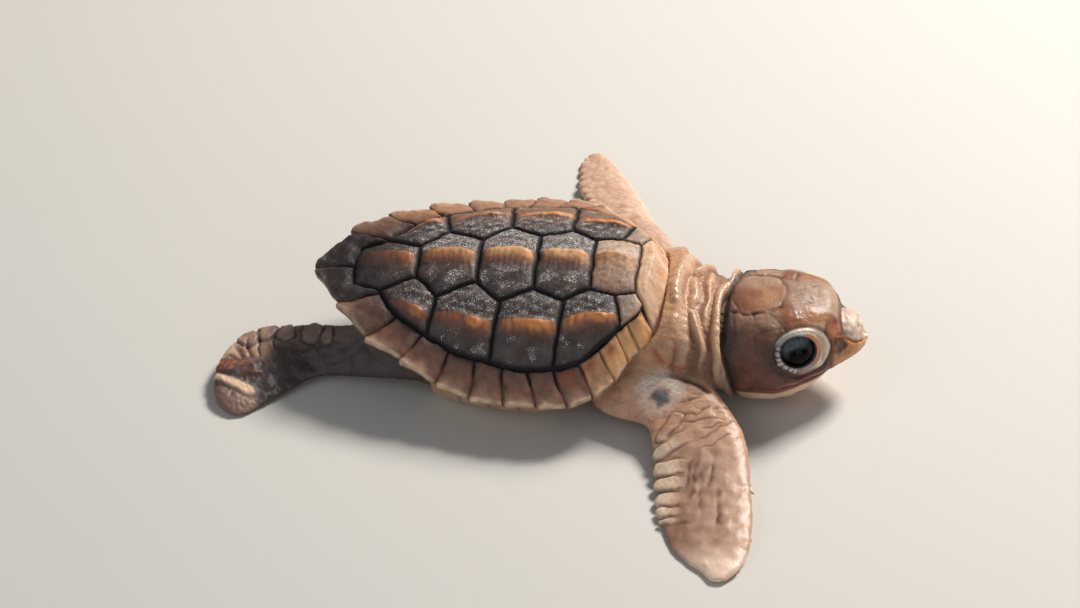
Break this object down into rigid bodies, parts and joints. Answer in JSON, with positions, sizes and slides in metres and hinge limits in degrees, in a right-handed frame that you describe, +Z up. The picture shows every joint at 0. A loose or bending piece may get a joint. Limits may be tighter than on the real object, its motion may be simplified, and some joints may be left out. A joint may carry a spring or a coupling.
{
  "type": "loggerhead sea turtle hatchling",
  "caption": "Life-size crawling sea turtle hatchling, a still model with a scuted shell, spread flippers and a beaked head.",
  "frame": {"origin": "middle of the bottom of the bounding box, on the floor", "axes": "+X towards the head, +Y towards the turtle's left, +Z up"},
  "size_m": [0.0838, 0.0852, 0.0185],
  "materials": {
    "dark_scute": "satin horn, dark brown-black",
    "tan_scute": "satin horn, tan",
    "margin_scute": "satin horn, brown with pale edges",
    "belly_scute": "satin horn, cream",
    "skin": "damp skin, pinkish tan",
    "head_skin": "damp scaled skin, orange brown",
    "limb_skin": "damp skin, pale pinkish tan",
    "dark_skin": "damp skin, grey brown",
    "horn": "satin horn, orange",
    "eye": "wet and glossy, black"
  },
  "bodies": {
    "root": {"abdominal_left": "belly_scute", "abdominal_right": "belly_scute", "anal_left": "belly_scute", "anal_right": "belly_scute", "beak_lower": "horn", "beak_upper": "horn", "bridge_left": "belly_scute", "bridge_right": "belly_scute", "costal_left_1": "tan_scute", "costal_left_2": "dark_scute", "costal_left_3": "dark_scute", "costal_left_4": "dark_scute", "costal_left_5": "dark_scute", "costal_right_1": "tan_scute", "costal_right_2": "dark_scute", "costal_right_3": "dark_scute", "costal_right_4": "dark_scute", "costal_right_5": "dark_scute", "eye_left": "eye", "eye_right": "eye", "femoral_left": "belly_scute", "femoral_right": "belly_scute", "front_flipper_left": "limb_skin", "front_flipper_right": "limb_skin", "gular_left": "belly_scute", "gular_right": "belly_scute", "head": "head_skin", "humeral_left": "belly_scute", "humeral_right": "belly_scute", "jaw": "head_skin", "marginals_left": "margin_scute", "marginals_right": "margin_scute", "neck": "skin", "nuchal": "tan_scute", "pectoral_left": "belly_scute", "pectoral_right": "belly_scute", "rear_flipper_left": "dark_skin", "rear_flipper_right": "dark_skin", "tail": "dark_skin", "trunk": "skin", "vertebral_1": "tan_scute", "vertebral_2": "dark_scute", "vertebral_3": "dark_scute", "vertebral_4": "dark_scute", "vertebral_5": "dark_scute"}
  },
  "joints": []
}
